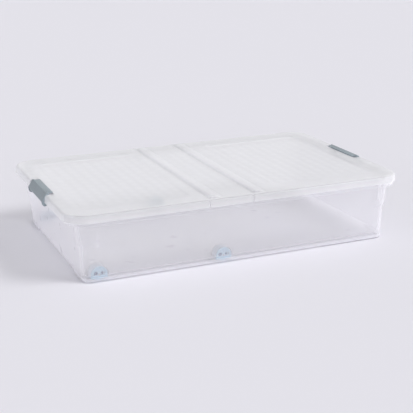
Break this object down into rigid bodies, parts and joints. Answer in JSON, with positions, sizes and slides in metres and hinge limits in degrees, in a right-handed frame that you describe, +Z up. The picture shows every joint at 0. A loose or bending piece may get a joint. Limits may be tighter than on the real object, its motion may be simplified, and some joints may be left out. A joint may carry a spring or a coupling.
{
  "type": "under bed box",
  "caption": "Low clear storage tub with a lid that folds along two hinge lines, a swing clip at each short end and castors under its left half.",
  "frame": {"origin": "middle of the box's outline, on the floor that it stands on", "axes": "+Z up, X along the length of the box, -Y the long side that the picture shows, the castors at -X"},
  "size_m": [0.809, 0.51, 0.1589],
  "materials": {
    "clear_tub": "clear moulded polypropylene, slightly milky, glossy outside",
    "clear_lid": "clear moulded polypropylene, finely patterned on the sunken panels",
    "grey_clip": "fine-textured slate grey moulded plastic",
    "wheel_plastic": "smooth pale blue moulded plastic",
    "housing_plastic": "smooth blue moulded plastic",
    "axle_steel": "drawn steel pin"
  },
  "bodies": {
    "tub": {"tub": "clear_tub", "wheel_housing_left_front": "housing_plastic", "wheel_housing_left_rear": "housing_plastic", "wheel_housing_middle_front": "housing_plastic", "wheel_housing_middle_rear": "housing_plastic", "axle_left_front": "axle_steel", "axle_left_rear": "axle_steel", "axle_middle_front": "axle_steel", "axle_middle_rear": "axle_steel"},
    "lid_band": {"lid_band": "clear_lid"},
    "lid_flap_left": {"lid_flap_left": "clear_lid"},
    "lid_flap_right": {"lid_flap_right": "clear_lid"},
    "clip_left": {"clip_left": "grey_clip"},
    "clip_right": {"clip_right": "grey_clip"},
    "wheel_left_front": {"wheel_left_front": "wheel_plastic"},
    "wheel_left_rear": {"wheel_left_rear": "wheel_plastic"},
    "wheel_middle_front": {"wheel_middle_front": "wheel_plastic"},
    "wheel_middle_rear": {"wheel_middle_rear": "wheel_plastic"}
  },
  "joints": [
    {"name": "lid_lift", "type": "slide", "parent": "tub", "child": "lid_band", "axis": [0, 0, 1], "range_m": [0, 0.12]},
    {"name": "left_flap_hinge", "type": "hinge", "parent": "lid_band", "child": "lid_flap_left", "pos_m": [-0.0865, 0, 0.155], "axis": [0, 1, 0], "range_deg": [0, 95]},
    {"name": "right_flap_hinge", "type": "hinge", "parent": "lid_band", "child": "lid_flap_right", "pos_m": [0.0165, 0, 0.155], "axis": [0, -1, 0], "range_deg": [0, 95]},
    {"name": "left_clip_pivot", "type": "hinge", "parent": "tub", "child": "clip_left", "pos_m": [-0.398, 0, 0.1343], "axis": [0, -1, 0], "range_deg": [0, 120]},
    {"name": "right_clip_pivot", "type": "hinge", "parent": "tub", "child": "clip_right", "pos_m": [0.398, 0, 0.1343], "axis": [0, 1, 0], "range_deg": [0, 120]},
    {"name": "wheel_spin_left_front", "type": "hinge", "parent": "tub", "child": "wheel_left_front", "pos_m": [-0.328, -0.212, 0.014], "axis": [0, 1, 0], "continuous": true},
    {"name": "wheel_spin_left_rear", "type": "hinge", "parent": "tub", "child": "wheel_left_rear", "pos_m": [-0.328, 0.212, 0.014], "axis": [0, 1, 0], "continuous": true},
    {"name": "wheel_spin_middle_front", "type": "hinge", "parent": "tub", "child": "wheel_middle_front", "pos_m": [-0.042, -0.212, 0.014], "axis": [0, 1, 0], "continuous": true},
    {"name": "wheel_spin_middle_rear", "type": "hinge", "parent": "tub", "child": "wheel_middle_rear", "pos_m": [-0.042, 0.212, 0.014], "axis": [0, 1, 0], "continuous": true}
  ]
}
